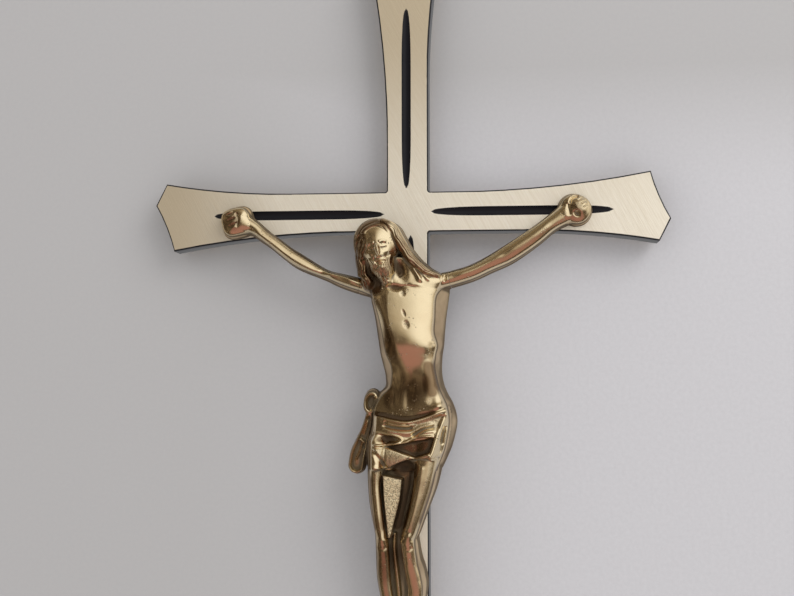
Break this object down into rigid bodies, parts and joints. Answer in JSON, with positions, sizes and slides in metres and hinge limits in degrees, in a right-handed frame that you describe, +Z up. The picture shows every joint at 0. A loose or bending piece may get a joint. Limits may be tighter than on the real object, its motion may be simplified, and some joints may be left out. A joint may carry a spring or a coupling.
{
  "type": "wall crucifix",
  "caption": "Flat brass cross with flared, pointed arms and dark grooves, a cast relief corpus screwed on from behind, and a hinged hanging ring recessed in its back.",
  "frame": {"origin": "on the flat back face, where the axes of the crossbar and the upright cross", "axes": "+Z up the upright, +X to the viewer's right along the crossbar, +Y out of the back face towards the wall; the front faces -Y"},
  "size_m": [0.1464, 0.0196, 0.25],
  "materials": {
    "plate_brass": "face brushed pale, edges and grooves black lacquer",
    "corpus_brass": "polished front, satin edges",
    "screw_brass": "turned",
    "hanger_brass": "rolled strip",
    "ring_brass": "drawn wire"
  },
  "bodies": {
    "crucifix": {"cross_plate": "plate_brass", "corpus_body": "corpus_brass", "corpus_arm_left": "corpus_brass", "corpus_arm_right": "corpus_brass", "hand_screw_left": "screw_brass", "hand_screw_right": "screw_brass", "feet_screw": "screw_brass", "hanger_strap": "hanger_brass", "hanger_screw": "screw_brass"},
    "ring": {"hanger_ring": "ring_brass"}
  },
  "joints": [
    {"name": "ring_hinge", "type": "hinge", "parent": "crucifix", "child": "ring", "pos_m": [-0.0006, -0.00162, 0.0625], "axis": [-1, 0, 0], "range_deg": [0, 160]}
  ]
}
